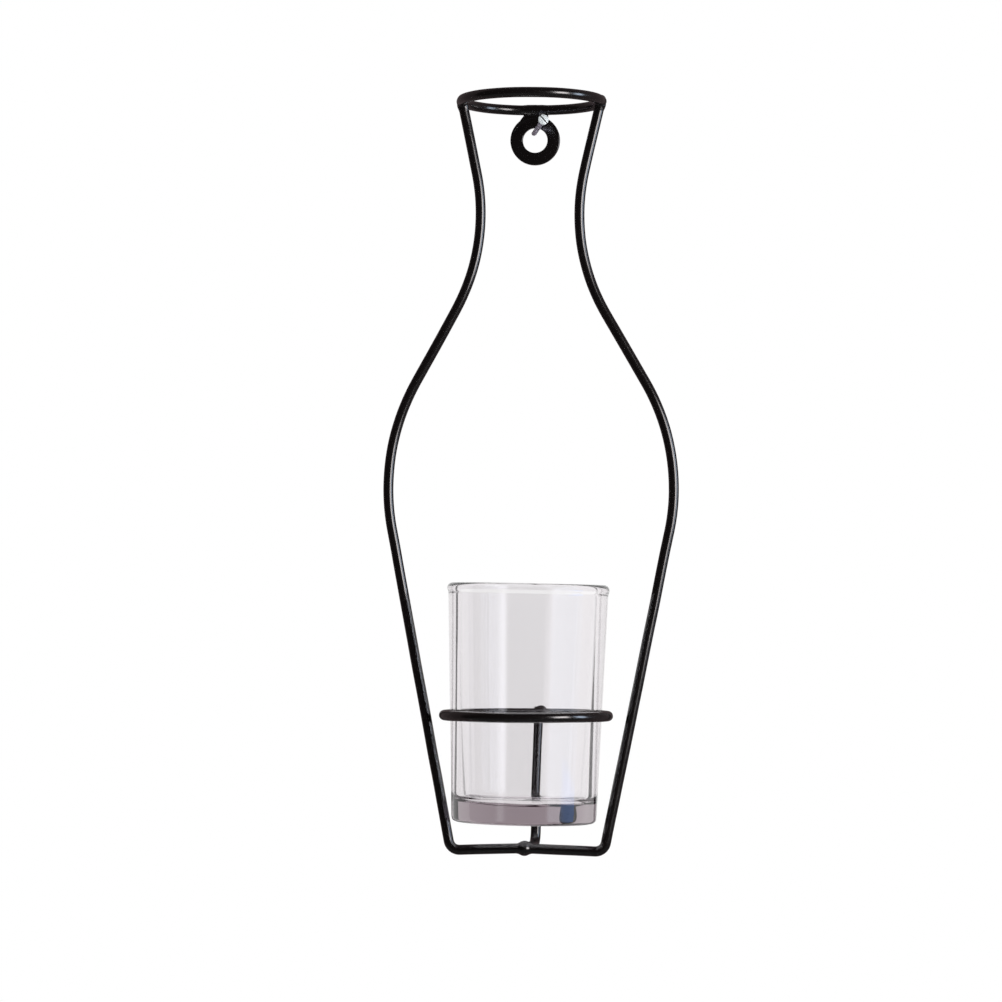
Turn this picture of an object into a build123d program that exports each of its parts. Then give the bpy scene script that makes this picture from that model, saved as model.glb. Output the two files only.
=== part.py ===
from build123d import *
from math import cos, radians, sin, tan
import os

# A hanging wall vase: a bottle outline in welded wire, hung from one screw, holding a glass cup.
# The wall is the plane Y = 0 and the room is on its -Y side; +X is to the right and +Z is up.
# The origin is the point where the screw's axis enters the wall. Lengths are in millimetres.

# Wire and welds
wire_dia = 4.0
weld_sink = 0.5  # how far one wire is pressed into the next at a weld
mouth_weld_dia = 5.2
stem_weld_dia = 5.4
base_weld_dia = 6.0
base_weld_length = 6.6  # along the base bar

# Bottle outline: where the wire's straight runs would meet, measured from the base bar's ends
frame_height = 296.0  # base bar to mouth ring, centre line to centre line
mouth_ring_dia = 55.0  # centre line
neck_half_width = 15.0
neck_side = -0.55  # the middle of the neck, from the frame's middle
neck_drop = 57.6  # the neck's corner, below the mouth ring
neck_ease = 0.325  # share of the shoulder's straight run that the neck's bend takes up
belly_half_width = 61.0
belly_side = 0.63  # the middle of the belly, from the frame's middle
belly_height = 157.4
belly_ease = 0.339  # share of the shoulder's straight run that the belly's bend takes up
base_half_width = 30.4
base_bend = 4.2
base_crown = 1.0  # the bar rises this much from its ends to its joint
base_joint_side = -1.1  # where the two side wires meet, from the frame's middle

# Cup ring and the stem behind it
cup_ring_dia = 64.1  # centre line
cup_ring_height = 53.4
stem_above_ring = 0.5
stem_bend = 5.0
stem_top_side = 2.4  # the stem at the ring, to the right of the frame's middle
stem_foot_side = 1.0  # the stem at the base
stem_foot_gap = 3.4  # the stem's foot, off the wall
stem_weld_side = 1.2  # the bead's middle, to the right of the stem
stem_weld_rise = 0.6

# Hanger eye, a plain washer welded under the back of the mouth ring
eye_dia = 20.0
eye_hole_dia = 10.0
eye_thickness = 2.0
eye_side = -1.0  # the eye's middle, from the frame's middle
eye_root_gap = 0.2  # filled by the weld
eye_weld_thickness = 2.3
eye_weld_lap = 1.2  # how far the weld runs over the eye's faces, in from its rim
eye_weld_left = 3.0  # reach along the ring to the left of the eye's middle
eye_weld_right = 5.0
eye_weld_left_angle = 158.0  # where the weld's edge meets the eye's rim, from +X
eye_weld_right_angle = 58.0

# Wall screw, driven in at a slant with its head to the right and up
screw_length = 40.0  # under the head
screw_reach = 19.3  # from the wall to the underside of the head, along the screw
screw_side_tilt = 16.0
screw_up_tilt = 9.2
shank_dia = 2.0
thread_dia = 2.6
tip_length = 3.0
head_dia = 4.1
head_height = 1.2
head_edge = 0.7  # height of the head's upright edge, below its dome
slot_width = 0.7
slot_depth = 0.7
slot_turn = -49.0
eye_seat_gap = 0.3  # between the shank and the top of the eye's hole

# Glass cup, wedged in the cup ring by its taper
cup_height = 93.4
cup_clearance = 11.65  # from the base bar's centre line up to the cup's foot
cup_taper = 1.97  # degrees from the cup's axis, each side
cup_lean = 0.8  # degrees to the right, as it is wedged in the ring
cup_wall = 3.9  # thickness under the rim
cup_foot_wall = 4.4  # thickness at the floor
cup_base = 8.1
cup_rim_dia = 5.2  # thickness of the rolled rim
cup_rim_blend = 3.0  # hollow between the rolled rim and the wall
cup_floor_round = 3.0
cup_foot_round = 2.0
cup_kick = 0.8  # depth of the dish under the foot
cup_kick_inset = 6.0  # the dish's edge, in from the foot's side
cup_seat_gap = 0.3  # between the glass and the cup ring

# Heights and depths that follow
wire_r = wire_dia / 2
side_slope = tan(radians(screw_side_tilt))
up_slope = tan(radians(screw_up_tilt))
eye_y = -wire_r
eye_middle_x = -eye_y * side_slope
shank_z = -eye_y * up_slope
shank_half_height = shank_dia / 2 / cos(radians(screw_up_tilt))
eye_rise = eye_thickness / 2 * up_slope
eye_z = shank_z + eye_rise + shank_half_height + eye_seat_gap - eye_hole_dia / 2
mouth_z = eye_z + eye_dia / 2 + eye_root_gap + wire_r
base_z = mouth_z - frame_height
crown_z = base_z + base_crown
outline_y = -(mouth_ring_dia / 2 + wire_r)
cup_ring_z = base_z + cup_ring_height
cup_ring_r = cup_ring_dia / 2
stem_y = -wire_r
cup_y = stem_y - (wire_dia - weld_sink) - cup_ring_r
stem_weld_y = stem_y - wire_r + weld_sink / 2
butt = wire_r - weld_sink  # how far a butted wire stops from the other wire's centre line


# A round wire swept along straight runs and tangent bends
def bent_wire(points, bends):
    path = FilletPolyline(*points, radius=bends)
    start = Plane(origin=path @ 0, z_dir=path % 0)
    return sweep(start * Circle(wire_r), path=path)


# The radius of a bend between two runs, from the length of run that it takes up
def bend_radius(before, after, taken):
    return taken / tan(radians(before.get_angle(after) / 2))


# The radius of a shallow dome, from the half width of its edge and its rise
def dome_radius(half_width, rise):
    return (half_width**2 + rise**2) / (2 * rise)


# Weld metal is cut where the pieces that it joins pass through it
def fused_round(bead, joined):
    for piece in joined:
        bead -= piece
    return bead


# Mouth ring
mouth_ring = Pos(0, outline_y, mouth_z) * Torus(mouth_ring_dia / 2, wire_r)

# Side wires: each is half of the bottle's outline, cut square where the halves meet at the base
base_joint = Vector(base_joint_side, outline_y, crown_z)
joint_plane = Plane.YZ.offset(base_joint_side)
base_slope = base_crown / base_half_width


def side_corners(side):
    bar_end = crown_z - base_slope * (base_half_width - side * base_joint_side)
    neck_corner = Vector(neck_side + side * neck_half_width, outline_y, mouth_z - neck_drop)
    mouth_corner = Vector(side * mouth_ring_dia / 2, outline_y, mouth_z)
    flare = mouth_corner - neck_corner
    return [
        Vector(side * base_half_width, outline_y, bar_end),
        Vector(belly_side + side * belly_half_width, outline_y, base_z + belly_height),
        neck_corner,
        mouth_corner - flare * (butt / flare.Z),
    ]


def side_wire(side, kept):
    corners = side_corners(side)
    side_run, shoulder, flare = [after - before for before, after in zip(corners, corners[1:])]
    belly_bend = bend_radius(side_run, shoulder, belly_ease * shoulder.length)
    neck_bend = bend_radius(shoulder, flare, neck_ease * shoulder.length)
    past_joint = base_joint + (base_joint - corners[0]).normalized() * wire_dia
    wire = bent_wire([past_joint, *corners], [base_bend, belly_bend, neck_bend])
    return split(wire, bisect_by=joint_plane, keep=kept) - mouth_ring


right_side_wire = side_wire(1, Keep.TOP)
left_side_wire = side_wire(-1, Keep.BOTTOM)

# Cup ring
cup_ring = Pos(0, cup_y, cup_ring_z) * Torus(cup_ring_r, wire_r)

# Stem: down from the cup ring, leaning left and off the wall, then forward to the joint of the base
stem_lean = (stem_top_side - stem_foot_side) / (cup_ring_z - crown_z)
stem_top_z = cup_ring_z + wire_r + stem_above_ring
stem_route = [
    Vector(stem_foot_side + stem_lean * (stem_top_z - crown_z), stem_y, stem_top_z),
    Vector(stem_foot_side, stem_y - stem_foot_gap, crown_z),
    Vector(base_joint_side, outline_y + butt, crown_z),
]
stem_wire = bent_wire(stem_route, [stem_bend]) - cup_ring - right_side_wire - left_side_wire

# Hanger eye
eye_place = Pos(eye_side, eye_y, eye_z) * Rot(90, 0, 0)
eye_disc = Circle(eye_dia / 2) - Circle(eye_hole_dia / 2)
hanger_eye = extrude(eye_place * eye_disc, eye_thickness / 2, both=True)


# Weld between the eye and the mouth ring: a web on the eye's upper rim, thicker than the washer
def eye_rim_point(angle):
    return (eye_dia / 2 * cos(radians(angle)), eye_dia / 2 * sin(radians(angle)))


ring_line = mouth_z - eye_z
web = Polyline(
    (-eye_weld_left, ring_line),
    eye_rim_point(eye_weld_left_angle),
    eye_rim_point(eye_weld_right_angle),
    (eye_weld_right, ring_line),
    close=True,
)
web_face = make_face(web) - Circle(eye_dia / 2 - eye_weld_lap)
eye_weld = extrude(eye_place * web_face, eye_weld_thickness / 2, both=True)
eye_weld = eye_weld - hanger_eye - mouth_ring


# Weld beads of the frame
def mouth_weld(side, wire):
    wire_top = side_corners(side)[-1]
    return fused_round(Pos(wire_top) * Sphere(mouth_weld_dia / 2), [mouth_ring, wire])


mouth_weld_right = mouth_weld(1, right_side_wire)
mouth_weld_left = mouth_weld(-1, left_side_wire)
stem_bead_place = Pos(stem_top_side + stem_weld_side, stem_weld_y, cup_ring_z + stem_weld_rise)
stem_bead = stem_bead_place * Sphere(stem_weld_dia / 2)
stem_weld = fused_round(stem_bead, [cup_ring, stem_wire])

# Weld on the base bar: a bump round the bar, thickest over the joint of the side wires
bump_end = base_weld_length / 2
bump_crest = ThreePointArc((-bump_end, wire_r), (0, base_weld_dia / 2), (bump_end, wire_r))
bump_core = Polyline((bump_end, wire_r), (bump_end, 0), (-bump_end, 0), (-bump_end, wire_r))
bump = Pos(base_joint) * revolve(make_face([bump_crest, bump_core]), Axis.X)
base_weld = fused_round(bump, [right_side_wire, left_side_wire, stem_wire])

# Glass cup: a tapered wall on a heavy base, with a rolled rim and a dished foot
taper = tan(radians(cup_taper))
seat_r = cup_ring_r - wire_r - cup_seat_gap
foot_r = seat_r - (cup_ring_height - cup_clearance) * taper
rim_z = cup_height - cup_rim_dia / 2
rim_r = foot_r + rim_z * taper
floor_r = foot_r + cup_base * taper - cup_foot_wall
kick_r = foot_r - cup_kick_inset
cup_outline = [
    Polyline((kick_r, 0), (foot_r, 0), (rim_r, rim_z), (rim_r - cup_wall, rim_z), (floor_r, cup_base)),
    Line((floor_r, cup_base), (0, cup_base)),
    Line((0, cup_base), (0, cup_kick)),
    RadiusArc((0, cup_kick), (kick_r, 0), dome_radius(kick_r, cup_kick)),
]
cup_section = make_face(cup_outline)
foot_corner = cup_section.vertices().sort_by_distance((foot_r, 0))[0]
cup_section = fillet(foot_corner, cup_foot_round)
floor_corner = cup_section.vertices().sort_by_distance((floor_r, cup_base))[0]
cup_section = fillet(floor_corner, cup_floor_round)
cup_section += Pos(rim_r - cup_wall / 2, rim_z) * Circle(cup_rim_dia / 2)
rim_corners = cup_section.vertices().sort_by_distance((rim_r - cup_wall / 2, rim_z))[:2]
cup_section = fillet(rim_corners, cup_rim_blend)
cup_place = Pos(0, cup_y, cup_ring_z) * Rot(0, cup_lean, 0) * Pos(0, 0, cup_clearance - cup_ring_height)
glass_cup = cup_place * revolve(Plane.XZ * cup_section, Axis.Z)

# Wall screw, turned about its own axis: head and shank in the room, thread in the wall
thread_r = thread_dia / 2
shank_r = shank_dia / 2
head_r = head_dia / 2
head_top = screw_reach + head_height
dome_z = screw_reach + head_edge
dome_r = dome_radius(head_r, head_height - head_edge)
embedded = screw_length - screw_reach
screw_outline = [
    Polyline((0, -embedded), (thread_r, tip_length - embedded), (thread_r, 0), (shank_r, 0)),
    Polyline((shank_r, 0), (shank_r, screw_reach), (head_r, screw_reach), (head_r, dome_z)),
    RadiusArc((head_r, dome_z), (0, head_top), -dome_r),
    Line((0, head_top), (0, -embedded)),
]
turned_screw = revolve(Plane.XZ * make_face(screw_outline), Axis.Z)
slot = Pos(0, 0, head_top) * Rot(0, 0, slot_turn) * Box(head_dia * 2, slot_width, slot_depth * 2)
screw_axis = Vector(side_slope, -1, up_slope).normalized()
screw_place = Plane(origin=(0, 0, 0), x_dir=Vector(0, 0, 1).cross(screw_axis), z_dir=screw_axis)
wall_screw = screw_place.location * (turned_screw - slot)

# The frame hangs with the eye's middle under the shank, which crosses the eye right of the origin
hung = {
    "mouth_ring": mouth_ring,
    "left_side_wire": left_side_wire,
    "right_side_wire": right_side_wire,
    "cup_ring": cup_ring,
    "stem_wire": stem_wire,
    "hanger_eye": hanger_eye,
    "eye_weld": eye_weld,
    "mouth_weld_left": mouth_weld_left,
    "mouth_weld_right": mouth_weld_right,
    "base_weld": base_weld,
    "stem_weld": stem_weld,
    "glass_cup": glass_cup,
}
os.makedirs("parts", exist_ok=True)
export_step(wall_screw, "parts/wall_screw.step")
for name, piece in hung.items():
    export_step(Pos(eye_middle_x - eye_side, 0, 0) * piece, f"parts/{name}.step")
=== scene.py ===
from math import atan2, cos, degrees, pi, radians, sin, sqrt, tan

import bmesh
import bpy
from mathutils import Matrix, Vector, noise


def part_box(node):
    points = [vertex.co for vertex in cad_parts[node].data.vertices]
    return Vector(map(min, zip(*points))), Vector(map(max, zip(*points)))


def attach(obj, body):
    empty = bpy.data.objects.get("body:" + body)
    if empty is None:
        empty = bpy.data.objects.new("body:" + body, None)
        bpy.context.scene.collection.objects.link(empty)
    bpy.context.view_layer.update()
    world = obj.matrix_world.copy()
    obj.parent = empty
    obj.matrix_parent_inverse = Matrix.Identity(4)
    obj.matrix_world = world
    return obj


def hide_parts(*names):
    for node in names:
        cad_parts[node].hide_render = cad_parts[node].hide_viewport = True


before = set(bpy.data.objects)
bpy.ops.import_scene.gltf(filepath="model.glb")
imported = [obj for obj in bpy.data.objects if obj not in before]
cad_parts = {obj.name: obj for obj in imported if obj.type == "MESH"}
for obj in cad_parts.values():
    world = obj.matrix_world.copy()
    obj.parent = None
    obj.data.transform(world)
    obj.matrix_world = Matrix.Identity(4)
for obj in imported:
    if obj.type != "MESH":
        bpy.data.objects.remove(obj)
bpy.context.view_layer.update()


# Wall screw: a small steel screw with a slotted round head, plated in bright zinc.
# It is driven into the wall at a slant, its head to the right and up, and carries the whole vase.
screw_to_right = radians(16.0)
screw_upward = radians(9.2)
screw_reach = 0.0193
screw_in_wall = 0.0207
tip_length = 0.003
tip_blunt_r = 0.00025
tip_blunt_length = 0.0007
shank_r = 0.001
shank_start = 0.0004
thread_r = 0.0013
thread_core_r = 0.00092
thread_pitch = 0.00112
thread_end = -0.0002
thread_run_out = 0.0006
thread_point_r = 0.00002
head_r = 0.00205
head_edge = 0.0007
head_height = 0.0012
head_round = 0.00015
under_head = 0.0003
under_head_flare = 0.00012
under_head_flat = 0.00006
slot_width = 0.0005
slot_depth = 0.0007
slot_turn = radians(-49.0)
slot_edge_round = 0.00005
slot_edge_angle = radians(40)
head_margin = 0.00005
slot_margin = 0.00001
shank_metallic = 0.5
head_dulled = 0.32
shank_colours = (0.63, 0.61, 0.75, 1.0), (0.79, 0.77, 0.92, 1.0)
# Painted highlight: the head gets whiter colours than the shank, for the light its dome catches
painted_lit_head_colours = (0.85, 0.93, 0.95, 1.0), (0.93, 0.99, 1.0, 1.0)
# Painted shade: a near-black colour laid in the slot
painted_slot_shade = (0.03, 0.03, 0.035, 1.0)
screw_axis = Vector((tan(screw_to_right), -1.0, tan(screw_upward))).normalized()
across = Vector((0, 0, 1)).cross(screw_axis).normalized()
screw_turn = Matrix((across, screw_axis.cross(across), screw_axis)).transposed()
slot_side = screw_turn @ Vector((-sin(slot_turn), cos(slot_turn), 0))
head_top = screw_reach + head_height


class Node:
    """A socket in a node tree. An expression on it adds Math nodes, where | takes the larger value.

    Any other node comes from add, and also gives another output of the same node."""

    def __init__(self, tree, socket=None):
        self.tree = tree
        self.socket = socket

    def add(self, kind, settings=None, sockets=None, out=0):
        node = self.tree.nodes.new(kind)
        for name, value in (settings or {}).items():
            setattr(node, name, value)
        for name, value in (sockets or {}).items():
            if isinstance(value, Node):
                self.tree.links.new(value.socket, node.inputs[name])
            else:
                node.inputs[name].default_value = value
        return Node(self.tree, node.outputs[out]) if len(node.outputs) else None

    def also(self, out):
        return Node(self.tree, self.socket.node.outputs[out])

    def worked(self, operation, first, second=0.0):
        return self.add("ShaderNodeMath", {"operation": operation}, {0: first, 1: second})

    def __add__(self, other):
        return self.worked("ADD", self, other)

    def __radd__(self, other):
        return self.worked("ADD", other, self)

    def __sub__(self, other):
        return self.worked("SUBTRACT", self, other)

    def __rsub__(self, other):
        return self.worked("SUBTRACT", other, self)

    def __mul__(self, other):
        return self.worked("MULTIPLY", self, other)

    def __rmul__(self, other):
        return self.worked("MULTIPLY", other, self)

    def __or__(self, other):
        return self.worked("MAXIMUM", self, other)

    def __ror__(self, other):
        return self.worked("MAXIMUM", other, self)

    def __lt__(self, other):
        return self.worked("LESS_THAN", self, other)

    def __gt__(self, other):
        return self.worked("GREATER_THAN", self, other)

    def __abs__(self):
        return self.worked("ABSOLUTE", self)


def new_finish(name):
    finish = bpy.data.materials.new(name)
    finish.use_nodes = True
    finish.node_tree.nodes.clear()
    return finish, Node(finish.node_tree)


def grain(tree, scale, detail, rough=0.5):
    place = tree.add("ShaderNodeTexCoord", out="Object")
    sizes = {"Vector": place, "Scale": scale, "Detail": detail, "Roughness": rough}
    return tree.add("ShaderNodeTexNoise", {"noise_dimensions": "3D"}, sizes, out="Fac")


def blend_colours(tree, amount, first, second):
    kinds = {"data_type": "RGBA", "blend_type": "MIX"}
    return tree.add("ShaderNodeMix", kinds, {0: amount, 6: first, 7: second}, out=2)


def distance_along(tree, direction):
    place = tree.add("ShaderNodeTexCoord", out="Object")
    product = {"operation": "DOT_PRODUCT"}
    return tree.add("ShaderNodeVectorMath", product, {0: place, 1: direction}, out="Value")


# Painted highlight: the head is painted whiter than the shank, and is less like bare metal; the slot is
# painted shade
zinc, tree = new_finish("bright_zinc_plate")
on_head = distance_along(tree, screw_axis) > screw_reach - head_margin
in_slot = on_head * (abs(distance_along(tree, slot_side)) < slot_width / 2 + slot_margin)
cloud = grain(tree, scale=900.0, detail=3.0)
pits = grain(tree, scale=3600.0, detail=2.0)
shank_colour = blend_colours(tree, cloud, *shank_colours)
# The head's whiter colour is a painted highlight
painted_lit_head_colour = blend_colours(tree, cloud, *painted_lit_head_colours)
plate_colour = blend_colours(tree, on_head, shank_colour, painted_lit_head_colour)
# The slot is given painted shade
zinc_colour = blend_colours(tree, in_slot, plate_colour, painted_slot_shade)
zinc_bump = tree.add("ShaderNodeBump", None, {"Strength": 0.12, "Distance": 0.000004, "Height": pits})
zinc_skin = tree.add(
    "ShaderNodeBsdfPrincipled",
    None,
    {
        "Base Color": zinc_colour,
        "Metallic": shank_metallic - head_dulled * on_head,
        "Roughness": 0.22 + 0.12 * cloud,
        "Normal": zinc_bump,
    },
)
tree.add("ShaderNodeOutputMaterial", None, {"Surface": zinc_skin})


def turned(profile, steps, ring=False):
    """A lathe: (radius, height) points turned about Z. A ring's profile closes on itself."""
    body = bmesh.new()
    rows = []
    for radius, height in profile:
        if radius < 1e-9:
            rows.append([body.verts.new((0.0, 0.0, height))])
        else:
            turns = [2 * pi * i / steps for i in range(steps)]
            rows.append([body.verts.new((radius * cos(t), radius * sin(t), height)) for t in turns])
    pairs = list(zip(rows, rows[1:]))
    if ring:
        pairs.append((rows[-1], rows[0]))
    for low, high in pairs:
        for i in range(steps):
            j = (i + 1) % steps
            corners = [low[i % len(low)], low[j % len(low)], high[j % len(high)], high[i % len(high)]]
            body.faces.new(list(dict.fromkeys(corners)))
    bmesh.ops.recalc_face_normals(body, faces=body.faces)
    return body


def dome_points(radius, rise, top, steps):
    """A shallow dome as (radius, height) points, from its edge to its middle."""
    sphere_r = (radius**2 + rise**2) / (2 * rise)
    radii = [radius * (1 - i / steps) for i in range(steps + 1)]
    return [(r, top - sphere_r + sqrt(sphere_r**2 - r**2)) for r in radii]


def as_mesh(name, body, smooth=True):
    mesh = bpy.data.meshes.new(name)
    body.to_mesh(mesh)
    body.free()
    mesh.polygons.foreach_set("use_smooth", [smooth] * len(mesh.polygons))
    return mesh


def on_bench(name, data):
    piece = bpy.data.objects.new(name, data)
    bpy.context.scene.collection.objects.link(piece)
    return piece


def finished_mesh(bench):
    """The mesh that a piece's modifiers make, with the piece on the bench cleared away."""
    bpy.context.view_layer.update()
    mesh = bpy.data.meshes.new_from_object(bench.evaluated_get(bpy.context.evaluated_depsgraph_get()))
    mesh.name = bench.name
    bpy.data.objects.remove(bench)
    return mesh


def fitted(name, mesh, finish, body, node):
    mesh.materials.clear()
    mesh.materials.append(finish)
    piece = on_bench(name, mesh)
    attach(piece, body)
    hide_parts(node)
    return piece


def set_inputs(modifier, values):
    for item in modifier.node_group.interface.items_tree:
        if item.item_type == "SOCKET" and item.in_out == "INPUT" and item.name in values:
            modifier[item.identifier] = values[item.name]


def new_geometry_tree(name, inputs):
    group = bpy.data.node_groups.new(name, "GeometryNodeTree")
    group.interface.new_socket(name="Geometry", in_out="INPUT", socket_type="NodeSocketGeometry")
    for label, kind in inputs:
        group.interface.new_socket(name=label, in_out="INPUT", socket_type="NodeSocket" + kind)
    group.interface.new_socket(name="Geometry", in_out="OUTPUT", socket_type="NodeSocketGeometry")
    return group, Node(group).add("NodeGroupInput")


# The thread is one sharp ridge wound round the core, and it winds in to the point along the tip
thread_tree, given = new_geometry_tree(
    "screw thread",
    [
        ("Turns", "Float"),
        ("Near radius", "Float"),
        ("Far radius", "Float"),
        ("Length", "Float"),
        ("Ridge", "Float"),
        ("Finish", "Material"),
    ],
)
coil = given.add(
    "GeometryNodeCurveSpiral",
    None,
    {
        "Resolution": 40,
        "Rotations": given.also("Turns"),
        "Start Radius": given.also("Near radius"),
        "End Radius": given.also("Far radius"),
        "Height": given.also("Length"),
    },
)
coil = given.add("GeometryNodeSetCurveNormal", {"mode": "Z_UP"}, {"Curve": coil})
ridge = given.add(
    "GeometryNodeCurvePrimitiveQuadrilateral",
    {"mode": "KITE"},
    {
        "Width": given.also("Ridge"),
        "Bottom Height": given.also("Ridge"),
        "Top Height": given.also("Ridge"),
    },
)
wound = given.add(
    "GeometryNodeCurveToMesh", None, {"Curve": coil, "Profile Curve": ridge, "Fill Caps": True}
)
wound = given.add("GeometryNodeRealizeInstances", None, {"Geometry": wound})
wound = given.add("GeometryNodeSetMaterial", None, {"Geometry": wound, "Material": given.also("Finish")})
given.add("NodeGroupOutput", None, {"Geometry": wound})


def thread(near, length, wound_length):
    bench = on_bench("thread", bpy.data.meshes.new("thread"))
    winder = bench.modifiers.new("thread", "NODES")
    winder.node_group = thread_tree
    set_inputs(
        winder,
        {
            "Turns": length / thread_pitch,
            "Near radius": near,
            "Far radius": thread_core_r,
            "Length": wound_length,
            "Ridge": thread_r - thread_core_r,
            "Finish": zinc,
        },
    )
    return finished_mesh(bench)


screw_profile = [
    (0.0, -screw_in_wall),
    (tip_blunt_r, -screw_in_wall + tip_blunt_length),
    (thread_core_r, -screw_in_wall + tip_length),
    (thread_core_r, thread_end),
    (shank_r, shank_start),
    (shank_r, screw_reach - under_head),
    (shank_r + under_head_flare, screw_reach - under_head_flat),
    (head_r - head_round, screw_reach),
    (head_r, screw_reach + head_round),
    *dome_points(head_r, head_height - head_edge, head_top, steps=8),
]
bench = on_bench("screw", as_mesh("screw", turned(screw_profile, steps=48)))
blade = bmesh.new()
bmesh.ops.create_cube(blade, size=1.0)
blade.transform(
    Matrix.Translation((0, 0, head_top))
    @ Matrix.Rotation(slot_turn, 4, "Z")
    @ Matrix.Diagonal((4 * head_r, slot_width, 2 * slot_depth, 1.0))
)
cutter = on_bench("slot", as_mesh("slot", blade, smooth=False))
cutter.hide_render = True
slot = bench.modifiers.new("slot", "BOOLEAN")
slot.object = cutter
slot.solver = "EXACT"
edge = bench.modifiers.new("edge", "BEVEL")
edge.width = slot_edge_round
edge.segments = 2
edge.limit_method = "ANGLE"
edge.angle_limit = slot_edge_angle
edge.harden_normals = True
screw_mesh = finished_mesh(bench)
bpy.data.objects.remove(cutter)
whole = bmesh.new()
whole.from_mesh(screw_mesh)
body_length = screw_in_wall - tip_length
body_thread = thread(thread_core_r, body_length, body_length - thread_run_out)
tip_thread = thread(thread_point_r, tip_length, tip_length)
for winding, low in ((body_thread, -body_length), (tip_thread, -screw_in_wall)):
    winding.transform(Matrix.Translation((0, 0, low)))
    whole.from_mesh(winding)
whole.transform(screw_turn.to_4x4())
fitted("zinc_wall_screw", as_mesh("zinc_wall_screw", whole), zinc, "screw", "wall_screw")


# Mouth ring: round steel wire bent into a closed ring, welded shut at the back over the hanger eye.
# It lies level at the top of the bottle. Like all of the frame it is dipped in black gloss paint.
wire_r = 0.002
wire_step = 0.0009
wire_sides = 32
wire_unevenness = 0.0003
ring_steps = 120
paint_colours = (0.0017, 0.0013, 0.0013, 1.0), (0.0046, 0.0035, 0.0035, 1.0)
paint, tree = new_finish("black_gloss_paint")
peel = grain(tree, scale=420.0, detail=1.0)
sags = grain(tree, scale=110.0, detail=1.0)
dust = grain(tree, scale=60.0, detail=4.0, rough=0.65)
paint_bump = tree.add(
    "ShaderNodeBump",
    None,
    {"Strength": 0.3, "Distance": 0.00006, "Height": 0.08 * peel + 0.92 * sags},
)
paint_skin = tree.add(
    "ShaderNodeBsdfPrincipled",
    None,
    {
        "Base Color": blend_colours(tree, dust, *paint_colours),
        "Roughness": 0.16 + 0.1 * dust,
        "IOR": 1.6,
        "Specular IOR Level": 0.7,
        "Coat Weight": 0.6,
        "Coat Roughness": 0.12,
        "Normal": paint_bump,
    },
)
tree.add("ShaderNodeOutputMaterial", None, {"Surface": paint_skin})

# Wire is drawn along a route of straight runs, rounded at each corner to the bend stored there
wire_tree, given = new_geometry_tree(
    "bent wire",
    [
        ("Wire radius", "Float"),
        ("Step", "Float"),
        ("Sides", "Int"),
        ("Unevenness", "Float"),
        ("Paint", "Material"),
    ],
)
route = given.add("GeometryNodeMeshToCurve", None, {"Mesh": given})
bend = given.add("GeometryNodeInputNamedAttribute", {"data_type": "FLOAT"}, {"Name": "bend"})
route = given.add(
    "GeometryNodeFilletCurve",
    {"mode": "POLY"},
    {"Curve": route, "Count": 36, "Radius": bend, "Limit Radius": True},
)
route = given.add(
    "GeometryNodeResampleCurve", {"mode": "LENGTH"}, {"Curve": route, "Length": given.also("Step")}
)
wander = given.add("ShaderNodeTexNoise", None, {"Scale": 38.0, "Detail": 1.0}, out="Color")
wander = given.add("ShaderNodeVectorMath", {"operation": "SUBTRACT"}, {0: wander, 1: (0.5, 0.5, 0.5)})
wander = given.add(
    "ShaderNodeVectorMath", {"operation": "SCALE"}, {0: wander, "Scale": given.also("Unevenness")}
)
route = given.add("GeometryNodeSetPosition", None, {"Geometry": route, "Offset": wander})
section = given.add(
    "GeometryNodeCurvePrimitiveCircle",
    {"mode": "RADIUS"},
    {"Resolution": given.also("Sides"), "Radius": given.also("Wire radius")},
)
drawn = given.add(
    "GeometryNodeCurveToMesh", None, {"Curve": route, "Profile Curve": section, "Fill Caps": True}
)
drawn = given.add("GeometryNodeSetShadeSmooth", None, {"Geometry": drawn})
drawn = given.add("GeometryNodeRealizeInstances", None, {"Geometry": drawn})
drawn = given.add("GeometryNodeSetMaterial", None, {"Geometry": drawn, "Material": given.also("Paint")})
given.add("NodeGroupOutput", None, {"Geometry": drawn})


def painted(node, mesh):
    fitted("painted_" + node, mesh, paint, "frame", node)


def painted_wire(node, points, bends, closed=False):
    mesh = bpy.data.meshes.new(node)
    runs = [(i, i + 1) for i in range(len(points) - 1)]
    if closed:
        runs.append((len(points) - 1, 0))
    mesh.from_pydata(points, runs, [])
    mesh.attributes.new("bend", "FLOAT", "POINT").data.foreach_set("value", bends)
    bench = on_bench(node, mesh)
    former = bench.modifiers.new("wire", "NODES")
    former.node_group = wire_tree
    set_inputs(
        former,
        {
            "Wire radius": wire_r,
            "Step": wire_step,
            "Sides": wire_sides,
            "Unevenness": wire_unevenness,
            "Paint": paint,
        },
    )
    painted(node, finished_mesh(bench))


def middle_of(node):
    low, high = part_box(node)
    return (low + high) / 2, (high - low) / 2


def along_ring(ring, angle, reach=0.0):
    """The point on a ring's centre line that lies a reach along it from an angle."""
    centre, radius = ring
    turn = angle + reach / radius
    return centre + Vector((radius * cos(turn), radius * sin(turn), 0))


def painted_ring(node):
    centre, half = middle_of(node)
    ring = centre, half.x - wire_r
    points = [along_ring(ring, 2 * pi * i / ring_steps) for i in range(ring_steps)]
    painted_wire(node, points, [0.0] * ring_steps, closed=True)
    return ring


mouth_ring = painted_ring("mouth_ring")
mouth, mouth_r = mouth_ring


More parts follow.
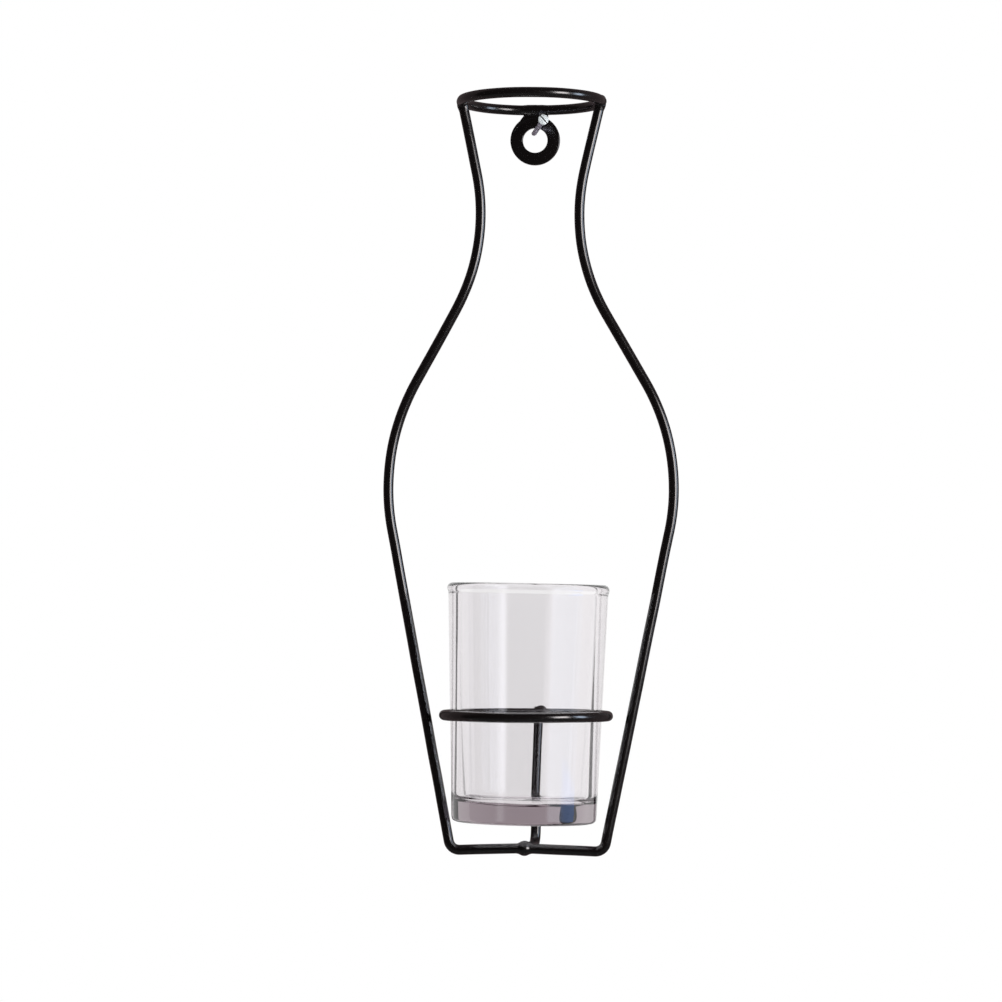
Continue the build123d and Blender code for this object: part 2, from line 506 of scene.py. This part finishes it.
# Side wires: two lengths of the same wire, bent to a bottle's outline and close to mirror images.
# Each butts under the mouth ring, sweeps in for the neck and out for the belly, and turns in to be
# half of the base bar, where the two meet.
frame_height = 0.296
neck_half_width = 0.0150
neck_side = -0.00055
neck_drop = 0.0576
neck_ease = 0.325
belly_half_width = 0.061
belly_side = 0.00063
belly_height = 0.1574
belly_ease = 0.339
base_half_width = 0.0304
base_bend = 0.0042
base_crown = 0.001
base_joint_side = -0.0011
weld_sink = 0.0005
base_joint = mouth + Vector((base_joint_side, 0, base_crown - frame_height))


def bend_radius(before, after, taken):
    return taken / tan(before.angle(after) / 2)


def side_points(side):
    bar_end = base_crown - base_crown / base_half_width * (base_half_width - side * base_joint_side)
    corners = [
        Vector((side * base_half_width, 0, bar_end - frame_height)),
        Vector((belly_side + side * belly_half_width, 0, belly_height - frame_height)),
        Vector((neck_side + side * neck_half_width, 0, -neck_drop)),
        Vector((side * mouth_r, 0, 0)),
    ]
    flare = corners[3] - corners[2]
    corners[3] -= flare * ((wire_r - weld_sink) / flare.z)
    return [base_joint, *[mouth + c for c in corners]]


wire_tops = {}
for side, node in ((-1, "left_side_wire"), (1, "right_side_wire")):
    points = side_points(side)
    side_run, shoulder, flare = (b - a for a, b in zip(points[1:], points[2:]))
    belly_bend = bend_radius(side_run, shoulder, belly_ease * shoulder.length)
    neck_bend = bend_radius(shoulder, flare, neck_ease * shoulder.length)
    painted_wire(node, points, [0.0, base_bend, belly_bend, neck_bend, 0.0])
    wire_tops[side] = points[-1], (points[-2] - points[-1]).normalized()


# Mouth welds: a bead under the mouth ring at each side, run round the top of the side wire.
# The metal drew smooth as it cooled, so each bead fades into the wire and the ring.
weld_voxel = 0.00018
weld_ripple = 0.00008
ripple_scale = 620.0
wire_lump_r = 0.00245
wire_lump_reach = 0.0042
wire_fade_r = 0.00165
ring_lump_r = 0.0023
ring_lump_reaches = -0.0046, 0.0046
ring_fade_r = 0.0017


def rod(body, start, end, near, far):
    """A tapered rod with round ends, one of the lumps that a weld is grown from."""
    along = end - start
    place = along.to_track_quat("Z", "Y").to_matrix().to_4x4()
    if along.length > 1e-6:
        bmesh.ops.create_cone(
            body,
            cap_ends=True,
            segments=32,
            radius1=near,
            radius2=far,
            depth=along.length,
            matrix=Matrix.Translation((start + end) / 2) @ place,
        )
    for point, radius in ((start, near), (end, far)):
        bmesh.ops.create_icosphere(body, subdivisions=3, radius=radius, matrix=Matrix.Translation(point))


def rods_along(body, ring, angle, reaches, near, far, start_share):
    """Rods along a ring, each from a share of its reach to the whole of it."""
    for reach in reaches:
        rod(body, along_ring(ring, angle, start_share * reach), along_ring(ring, angle, reach), near, far)


def weld_bead(node, lumps, smoothing=10):
    bench = on_bench(node, as_mesh(node, lumps))
    fuse = bench.modifiers.new("fuse", "REMESH")
    fuse.mode = "VOXEL"
    fuse.voxel_size = weld_voxel
    settle = bench.modifiers.new("settle", "SMOOTH")
    settle.factor = 0.5
    settle.iterations = smoothing
    mesh = finished_mesh(bench)
    normals = [v.normal.copy() for v in mesh.vertices]
    for vertex, normal in zip(mesh.vertices, normals):
        vertex.co += normal * weld_ripple * noise.noise(vertex.co * ripple_scale)
    mesh.polygons.foreach_set("use_smooth", [True] * len(mesh.polygons))
    mesh.update()
    painted(node, mesh)


for side, angle, node in ((-1, pi, "mouth_weld_left"), (1, 0.0, "mouth_weld_right")):
    top, down = wire_tops[side]
    lumps = bmesh.new()
    rod(lumps, top, top + down * wire_lump_reach, wire_lump_r, wire_fade_r)
    rods_along(lumps, mouth_ring, angle, ring_lump_reaches, ring_lump_r, ring_fade_r, start_share=0.2)
    weld_bead(node, lumps)


# Base weld: a round lump of weld metal in the middle of the base bar, under the same paint.
# It closes the joint where the two side wires and the foot of the stem butt together.
stem_foot_side = 0.001
stem_foot_gap = 0.0034
joint_lump_r = 0.00305
bar_lump_r = 0.0028
bar_lump_reach = 0.0044
foot_lump_r = 0.0024
foot_lump_reach = 0.0042
stem_y = -wire_r
stem_foot = Vector((mouth.x + stem_foot_side, stem_y - stem_foot_gap, base_joint.z))
stem_end = base_joint + (stem_foot - base_joint).normalized() * (wire_r - weld_sink)
lumps = bmesh.new()
rod(lumps, base_joint, base_joint, joint_lump_r, joint_lump_r)
for side in (-1, 1):
    bar_way = (side_points(side)[1] - base_joint).normalized()
    rod(lumps, base_joint, base_joint + bar_way * bar_lump_reach, bar_lump_r, wire_fade_r)
foot_way = (stem_foot - stem_end).normalized()
rod(lumps, stem_end, stem_end + foot_way * foot_lump_reach, foot_lump_r, wire_fade_r)
weld_bead("base_weld", lumps)


# Cup ring: the same painted wire in a larger closed ring, level in the lower part of the bottle.
# Only the stem holds it, at its back, and the tapered glass wedges in it.
cup_ring = painted_ring("cup_ring")
cup_ring_centre, cup_ring_r = cup_ring


# Stem: wire behind the glass, down from the back of the cup ring, leaning left and off the wall.
# It turns forward under the glass and butts against the joint of the base bar.
stem_bend = 0.005
stem_above_ring = 0.0005
stem_lean = 0.0014
stem_slope = stem_lean / (cup_ring_centre.z - stem_foot.z)
stem_top_z = cup_ring_centre.z + wire_r + stem_above_ring
stem_top = Vector((stem_foot.x + stem_slope * (stem_top_z - stem_foot.z), stem_y, stem_top_z))
stem_up = (stem_top - stem_foot) / (stem_top_z - stem_foot.z)
stem_at_ring = stem_top - stem_up * (wire_r + stem_above_ring)
painted_wire("stem_wire", [stem_top, stem_foot, stem_end], [0.0, stem_bend, 0.0])


# Stem weld: a bead of weld metal in the groove between the cup ring's back and the stem.
# It was laid from the right, so it is fuller there, and it runs out along the ring and down the stem.
bead_side = 0.0012
bead_rise = 0.0006
bead_r = 0.00255
bead_reaches = -0.0058, 0.0042
stem_lump_reach = 0.0042
bead_y = stem_y - wire_r + weld_sink / 2
bead = Vector((stem_at_ring.x + bead_side, bead_y, cup_ring_centre.z + bead_rise))
lumps = bmesh.new()
rod(lumps, bead, bead, bead_r, bead_r)
rod(lumps, stem_at_ring, stem_at_ring - stem_up * stem_lump_reach, ring_lump_r, ring_fade_r)
stem_turn = pi / 2 - (stem_at_ring.x - cup_ring_centre.x) / cup_ring_r
rods_along(lumps, cup_ring, stem_turn, bead_reaches, ring_lump_r, ring_fade_r, start_share=0.1)
weld_bead("stem_weld", lumps)


# Hanger eye: a plain steel washer with stamped, slightly rounded edges, painted with the frame.
# It hangs upright under the back of the mouth ring, and the screw passes through its hole.
eye, eye_half = middle_of("hanger_eye")
eye_r = eye_half.x
eye_hole_r = 0.005
eye_half_thick = eye_half.y
die_edge = 0.00035
die_steps = 5
washer = []
for x, y, start in (
    (eye_r - die_edge, eye_half_thick - die_edge, 0.0),
    (eye_hole_r + die_edge, eye_half_thick - die_edge, pi / 2),
    (eye_hole_r + die_edge, die_edge - eye_half_thick, pi),
    (eye_r - die_edge, die_edge - eye_half_thick, 1.5 * pi),
):
    for i in range(die_steps + 1):
        swing = start + pi / 2 * i / die_steps
        washer.append((x + die_edge * cos(swing), y + die_edge * sin(swing)))
stamped = turned(washer, steps=96, ring=True)
stamped.transform(Matrix.Translation(eye) @ Matrix.Rotation(pi / 2, 4, "X"))
painted("hanger_eye", as_mesh("hanger_eye", stamped))


# Eye weld: a web of weld metal from the mouth ring's back to the washer's upper rim.
# It is thicker than the washer, drawn out straight to the left and short on the right.
web_lap = 0.0012
web_half_thick = 0.00115
web_left = radians(158)
web_right = radians(58)
web_top_left = -0.003
web_top_right = 0.005
web_steps = 12
web_lump_r = 0.0022
web_lump_reach = 0.0032
web_reaches = -0.0085, 0.008
ring_line = mouth.z - eye.z
rim = [(eye_r * cos(web_left), eye_r * sin(web_left))]
for i in range(web_steps + 1):
    swing = web_left + (web_right - web_left) * i / web_steps
    rim.append(((eye_r - web_lap) * cos(swing), (eye_r - web_lap) * sin(swing)))
rim.append((eye_r * cos(web_right), eye_r * sin(web_right)))
outline = [(web_top_right, ring_line), (web_top_left, ring_line), *rim]
lumps = bmesh.new()
front, rear = (
    [lumps.verts.new((eye.x + x, eye.y + y, eye.z + z)) for x, z in outline]
    for y in (-web_half_thick, web_half_thick)
)
lumps.faces.new(front)
lumps.faces.new(rear[::-1])
for i in range(len(outline)):
    j = (i + 1) % len(outline)
    lumps.faces.new((front[j], front[i], rear[i], rear[j]))
bmesh.ops.recalc_face_normals(lumps, faces=lumps.faces)
eye_turn = pi / 2 - (eye.x - mouth.x) / mouth_r
rods_along(lumps, mouth_ring, eye_turn, web_reaches, web_lump_r, ring_fade_r, start_share=0.35)
web_ends = [along_ring(mouth_ring, eye_turn, reach) for reach in (-web_lump_reach, web_lump_reach)]
rod(lumps, *web_ends, web_lump_r, web_lump_r)
weld_bead("eye_weld", lumps, smoothing=8)


# Glass cup: clear pressed glass, tapered, with a heavy base, a rolled rim, and its floor and foot dished.
# It drops into the cup ring from above and wedges there by its taper; it lifts out for water.
cup_height = 0.0934
cup_ring_height = 0.0534
cup_clearance = 0.01165
cup_seat_gap = 0.0003
cup_lean = radians(0.8)
cup_taper = tan(radians(1.97))
cup_wall = 0.0039
cup_foot_wall = 0.0044
cup_base = 0.0081
foot_round = 0.002
foot_round_in = 0.0019
kick_depth = 0.0008
kick_inset = 0.006
rim_swell = 0.00045
rim_blend_r = 0.004
floor_round = 0.003
floor_round_in = 0.0029
floor_join = 0.00002
floor_dish = 0.0015
floor_steps = 16
profile_easings = 3
inner_share = 0.6
wall_wave = 0.00007
fine_wave = 0.00003
waves_round = 2.6
waves_up = 9.0
fine_scale = 2.7
floor_wave = 0.0003
floor_wave_scale = 75.0
floor_zone = 0.001
glass_colour = (0.99, 0.99, 0.995, 1.0)
glass_tint = (0.46, 0.375, 0.415, 1.0)
cup_below_ring = cup_ring_height - cup_clearance
rim_bead_r = (cup_wall + rim_swell) / 2
foot_r = cup_ring_r - wire_r - cup_seat_gap - cup_below_ring * cup_taper
rim_z = cup_height - rim_bead_r
rim_r = foot_r + rim_z * cup_taper
floor_r = foot_r + cup_base * cup_taper - cup_foot_wall


def arc(centre, radius, start, end, steps):
    turns = [radians(start + (end - start) * i / steps) for i in range(steps + 1)]
    return [(centre[0] + radius * cos(t), centre[1] + radius * sin(t)) for t in turns]


def between(first, last, steps):
    parts = [i / steps for i in range(1, steps)]
    return [(first[0] + (last[0] - first[0]) * p, first[1] + (last[1] - first[1]) * p) for p in parts]


under = dome_points(foot_r - kick_inset, kick_depth, kick_depth, steps=14)[::-1]
foot_turn = arc((foot_r - foot_round_in, foot_round), foot_round, -90, 0, steps=12)

# The outside runs up in a straight taper and flares through a hollow into the bead of the rim
bead_middle = Vector((rim_r + rim_swell - rim_bead_r, rim_z))
up_the_wall = Vector((cup_taper, 1.0)).normalized()
off_the_wall = Vector((up_the_wall.y, -up_the_wall.x))
to_hollow = Vector((rim_bead_r - rim_swell, 0.0)) + rim_blend_r * off_the_wall
rise = to_hollow.dot(up_the_wall)
drop = rise + sqrt(rise**2 - to_hollow.length_squared + (rim_bead_r + rim_blend_r) ** 2)
to_hollow -= drop * up_the_wall
hollow_start = degrees(atan2(-off_the_wall.y, -off_the_wall.x))
hollow_end = degrees(atan2(-to_hollow.y, -to_hollow.x))
rim_hollow = arc(bead_middle + to_hollow, rim_blend_r, hollow_start, hollow_end, steps=10)
inner_lean = degrees(atan2(rim_r - cup_wall - floor_r, rim_z - cup_base))
rim_turn = arc(bead_middle, rim_bead_r, hollow_end - 180, 180 - inner_lean, steps=36)

floor_turn = arc((floor_r - floor_round_in, cup_base + floor_round), floor_round, 0, -90, steps=14)
floor_turn[0] = (floor_turn[0][0] + floor_join, floor_turn[0][1])
dished_r = floor_turn[-1][0]
dished_floor = []
for i in range(1, floor_steps + 1):
    r = dished_r * (1 - i / floor_steps)
    dished_floor.append((r, cup_base - floor_dish * (1 - (r / dished_r) ** 2)))
glass_profile = [
    *under,
    *between(under[-1], foot_turn[0], steps=5),
    *foot_turn,
    *between(foot_turn[-1], rim_hollow[0], steps=40),
    *rim_hollow,
    *rim_turn[1:],
    *between(rim_turn[-1], floor_turn[0], steps=40),
    *floor_turn,
    *dished_floor,
]
for _ in range(profile_easings):
    inner = zip(glass_profile, glass_profile[1:], glass_profile[2:])
    eased = [((a[0] + 2 * b[0] + c[0]) / 4, (a[1] + 2 * b[1] + c[1]) / 4) for a, b, c in inner]
    glass_profile = [glass_profile[0], *eased, glass_profile[-1]]
pressed = turned(glass_profile, steps=168)

# The inside is a little wavy from the press, and the floor more so
for vertex in pressed.verts:
    radius = sqrt(vertex.co.x**2 + vertex.co.y**2)
    inner_limit = foot_r + vertex.co.z * cup_taper - cup_wall * inner_share
    if vertex.co.z > cup_base / 2 and 1e-6 < radius < inner_limit:
        way_x, way_y = (part / radius * waves_round for part in vertex.co.xy)
        sway = Vector((way_x, way_y, vertex.co.z * waves_up))
        push = wall_wave * noise.noise(sway) + fine_wave * noise.noise(sway * fine_scale)
        share = min(1.0, radius / floor_r)
        vertex.co.x += push * share * vertex.co.x / radius
        vertex.co.y += push * share * vertex.co.y / radius
        if vertex.co.z < cup_base + floor_zone:
            spot = Vector((vertex.co.x, vertex.co.y, 0)) * floor_wave_scale
            vertex.co.z += floor_wave * noise.noise(spot)
pressed.transform(
    Matrix.Translation(cup_ring_centre)
    @ Matrix.Rotation(cup_lean, 4, "Y")
    @ Matrix.Translation((0, 0, -cup_below_ring))
)

glass, tree = new_finish("clear_pressed_glass")
place = tree.add("ShaderNodeTexCoord", out="Object")
drawn_out = tree.add("ShaderNodeMapping", None, {"Vector": place, "Scale": (1.0, 1.0, 0.12)})
streaks = tree.add(
    "ShaderNodeTexNoise", None, {"Vector": drawn_out, "Scale": 190.0, "Detail": 1.5}, out="Fac"
)
smears = grain(tree, scale=75.0, detail=3.0, rough=0.6)
glass_bump = tree.add(
    "ShaderNodeBump", None, {"Strength": 0.12, "Distance": 0.00006, "Height": streaks + 0.25 * smears}
)
glass_skin = tree.add(
    "ShaderNodeBsdfPrincipled",
    None,
    {
        "Base Color": glass_colour,
        "Roughness": 0.0,
        "IOR": 1.5,
        "Transmission Weight": 1.0,
        "Normal": glass_bump,
    },
)
depth_tint = tree.add("ShaderNodeVolumeAbsorption", None, {"Color": glass_tint, "Density": 40.0})
tree.add("ShaderNodeOutputMaterial", None, {"Surface": glass_skin, "Volume": depth_tint})
glass_mesh = as_mesh("glass_cup", pressed)
cup = fitted("pressed_glass_cup", glass_mesh, glass, "cup", "glass_cup")


# Floor: a plain pale floor, a round sheet laid well below the vase, which hangs free above it.
# It is white to the eye and through the glass, takes a faint shadow, and stays dim in the paint.
pale_floor_r = 1.7
pale_floor_middle = 0, -0.03, -0.95
pale_matt = (0.86, 0.86, 0.86, 1.0)
floor_whiteness = 0.86
floor_in_paint = 0.08


def backdrop_finish(name):
    """A pale matt finish to build on, with the rays that see it plain and those that mirror it."""
    finish, tree = new_finish(name)
    seen = tree.add("ShaderNodeLightPath", out="Is Camera Ray")
    plain = seen | seen.also("Is Transmission Ray")
    matt = tree.add("ShaderNodeBsdfDiffuse", None, {"Color": pale_matt})
    return finish, tree, matt, plain, seen.also("Is Glossy Ray")


floor_mesh = bmesh.new()
floor_place = Matrix.Translation(pale_floor_middle)
bmesh.ops.create_circle(floor_mesh, cap_ends=True, segments=64, radius=pale_floor_r, matrix=floor_place)
floor = on_bench("pale_floor", as_mesh("pale_floor", floor_mesh, smooth=False))
floor_finish, tree, matt, plain, mirrored = backdrop_finish("pale_floor")
white = tree.add("ShaderNodeEmission", None, {"Strength": plain | floor_in_paint * mirrored})
whitened = floor_whiteness * plain | mirrored
shown = tree.add("ShaderNodeMixShader", None, {0: whitened, 1: matt, 2: white})
tree.add("ShaderNodeOutputMaterial", None, {"Surface": shown})
floor.data.materials.append(floor_finish)


# Wall: the plain white wall that the screw is driven into. The front of the glass mirrors its right part
# brighter, as if the windows lit it. It shows from the room only, so that the back of the vase can be
# looked at as well.
wall_half_width = 3.0
wall_y = 0.0004
wall_in_glass = 0.9
wall_in_paint = 0.1
wall_white = (1.0, 1.0, 1.0, 1.0)
wall_warm = (1.0, 0.78, 0.8, 1.0)
wall_lit = (2.0, 2.0, 2.0, 1.0)
no_bounce = 0.5


def ramp_up(tree, value, low, high):
    limits = {"Value": value, "From Min": low, "From Max": high, "To Min": 0.0, "To Max": 1.0}
    return tree.add("ShaderNodeMapRange", {"interpolation_type": "SMOOTHSTEP", "clamp": True}, limits)


wall_mesh = bmesh.new()
wall_turn = Matrix.Translation((0, wall_y, 0)) @ Matrix.Rotation(pi / 2, 4, "X")
bmesh.ops.create_grid(wall_mesh, x_segments=1, y_segments=1, size=wall_half_width, matrix=wall_turn)
wall = on_bench("white_wall", as_mesh("white_wall", wall_mesh, smooth=False))
wall_finish, tree, matt, plain, mirrored = backdrop_finish("white_wall")
in_glass = mirrored.also("Is Singular Ray")
on_front = mirrored.also("Transmission Depth") < no_bounce
place = tree.add("ShaderNodeTexCoord", out="Object")
rightward = tree.add("ShaderNodeSeparateXYZ", None, {"Vector": place}, out="X")
lit_part = ramp_up(tree, rightward, low=0.05, high=0.12) * on_front * in_glass
plain_colour = blend_colours(tree, plain | in_glass, wall_warm, wall_white)
wall_colour = blend_colours(tree, lit_part, plain_colour, wall_lit)
wall_level = plain | (wall_in_glass * in_glass | wall_in_paint * mirrored)
white = tree.add("ShaderNodeEmission", None, {"Color": wall_colour, "Strength": wall_level})
shown = tree.add("ShaderNodeMixShader", None, {0: plain | mirrored, 1: matt, 2: white})
behind = tree.add("ShaderNodeNewGeometry", out="Backfacing")
clear = tree.add("ShaderNodeBsdfTransparent")
one_sided = tree.add("ShaderNodeMixShader", None, {0: behind, 1: shown, 2: clear})
tree.add("ShaderNodeOutputMaterial", None, {"Surface": one_sided})
wall.data.materials.append(wall_finish)


# Room: dim in front of the vase, bright to the right with a blue patch low down, and with a narrow window
# to the left and a pale ceiling. Only the glass mirrors the bright parts, and the blue only on its front.
# To the eye, and straight through the glass, the room is plain white.
right_glow = 2.0
left_glow = 1.6
ceiling_glow = 0.85
dim_room = (0.028, 0.023, 0.024, 1.0)
window_white = (0.97, 0.97, 1.0, 1.0)
right_white = (0.92, 0.98, 1.08, 1.0)
right_blue = (0.70, 1.0, 1.8, 1.0)
plain_white = (1.0, 1.0, 1.0, 1.0)
world = bpy.data.worlds.new("studio")
bpy.context.scene.world = world
world.use_nodes = True
world.node_tree.nodes.clear()
tree = Node(world.node_tree)
seen = tree.add("ShaderNodeLightPath", out="Is Camera Ray")
unmirrored = seen.also("Glossy Depth") < no_bounce
through = seen | unmirrored * seen.also("Is Transmission Ray")
in_glass = seen.also("Is Singular Ray")
on_front = seen.also("Transmission Depth") < no_bounce
way = tree.add("ShaderNodeTexCoord", out="Generated")
rightward = tree.add("ShaderNodeSeparateXYZ", None, {"Vector": way}, out="X")
upward = rightward.also("Z")
right_side = ramp_up(tree, rightward, low=0.60, high=0.70)
left_edge = ramp_up(tree, rightward, low=-0.70, high=-0.56)
left_window = left_edge * (1 - ramp_up(tree, rightward, low=-0.50, high=-0.36))
ceiling = ramp_up(tree, upward, low=0.3, high=0.8)
glow = in_glass * (right_side + left_window + ceiling)
level = in_glass * (right_glow * right_side + left_glow * left_window + ceiling_glow * ceiling)
low_down = 1 - ramp_up(tree, upward, low=-0.114, high=-0.107)
far_right = ramp_up(tree, rightward, low=0.86, high=0.95)
blue_patch = low_down * far_right * on_front
right_colour = blend_colours(tree, blue_patch, right_white, right_blue)
lit_colour = blend_colours(tree, right_side, window_white, right_colour)
room_colour = blend_colours(tree, glow, dim_room, lit_colour)
room = tree.add("ShaderNodeBackground", None, {"Color": room_colour, "Strength": level | 1.0})
paper = tree.add("ShaderNodeBackground", None, {"Color": plain_white, "Strength": 1.0})
around = tree.add("ShaderNodeMixShader", None, {0: through, 1: room, 2: paper})
tree.add("ShaderNodeOutputWorld", None, {"Surface": around})


# Lamps: a tall window to the right and a bluish one further round, each a bright core in a wider, weaker
# edge, and two soft fills that the paint doesn't mirror. They leave out the glass, which they would veil.
# Light may bounce often enough to find its way out of the thick glass.
aim = Vector((0.0016, -0.03, -0.14))
window_elevation = 6
window_distance = 1.3
window_height = 0.68
tall_window_width = 0.44
blue_window_width = 0.34
fill_size = 1.2, 1.2
all_but_glass = bpy.data.collections.new("all_but_glass")
all_but_glass.objects.link(cup)
all_but_glass.collection_objects[0].light_linking.link_state = "EXCLUDE"


def soft_lamp(name, azimuth, elevation, distance, size, radiance, colour, mirrored=True):
    """An area lamp that faces the vase. Its power is four times its area times its radiance."""
    lamp = bpy.data.lights.new(name, "AREA")
    lamp.shape = "RECTANGLE"
    lamp.size, lamp.size_y = size
    lamp.energy = radiance * 4 * size[0] * size[1]
    lamp.color = colour
    hung = on_bench(name, lamp)
    hung.light_linking.receiver_collection = all_but_glass
    a, e = radians(azimuth), radians(elevation)
    away = Vector((sin(a) * cos(e), -cos(a) * cos(e), sin(e)))
    hung.location = aim + away * distance
    hung.rotation_euler = away.to_track_quat("Z", "Y").to_euler()
    hung.visible_camera = False
    hung.visible_glossy = mirrored
    hung.visible_transmission = mirrored


for part, share, strength in (("core", 0.72, 0.62), ("edge", 1.2, 0.38)):
    soft_lamp(
        "tall_window_" + part,
        azimuth=53,
        elevation=window_elevation,
        distance=window_distance,
        size=(tall_window_width * share, window_height * share),
        radiance=9.5 * strength,
        colour=(1.0, 0.95, 0.945),
    )
    soft_lamp(
        "blue_window_" + part,
        azimuth=84,
        elevation=window_elevation,
        distance=window_distance,
        size=(blue_window_width * share, window_height * share),
        radiance=6.5 * strength,
        colour=(0.70, 0.83, 1.0),
    )
soft_lamp(
    "front_fill",
    azimuth=18,
    elevation=30,
    distance=1.5,
    size=fill_size,
    radiance=2.4,
    colour=(1.0, 1.0, 1.0),
    mirrored=False,
)
soft_lamp(
    "left_fill",
    azimuth=-70,
    elevation=10,
    distance=1.6,
    size=fill_size,
    radiance=0.7,
    colour=(1.0, 0.97, 0.97),
    mirrored=False,
)

bpy.context.scene.view_settings.view_transform = "Standard"
bpy.context.scene.cycles.max_bounces = 32
bpy.context.scene.cycles.glossy_bounces = 24
bpy.context.scene.cycles.transmission_bounces = 24


# Camera: a long lens about a metre and a half in front of the wall, a little to the right of the vase.
# It stands level with the glass, tipped up and rolled a touch.
camera_place = 0.14499, -1.54072, -0.19392
camera_pan = radians(5.84)
camera_tip = radians(91.683)
camera_roll = radians(0.349)
camera_data = bpy.data.cameras.new("camera")
camera_data.sensor_width = 36.0
camera_data.lens = 138.3
camera_data.clip_end = 50.0
camera = on_bench("camera", camera_data)
camera.location = camera_place
camera.rotation_euler = (
    Matrix.Rotation(camera_pan, 3, "Z")
    @ Matrix.Rotation(camera_tip, 3, "X")
    @ Matrix.Rotation(camera_roll, 3, "Z")
).to_euler()
bpy.context.scene.camera = camera
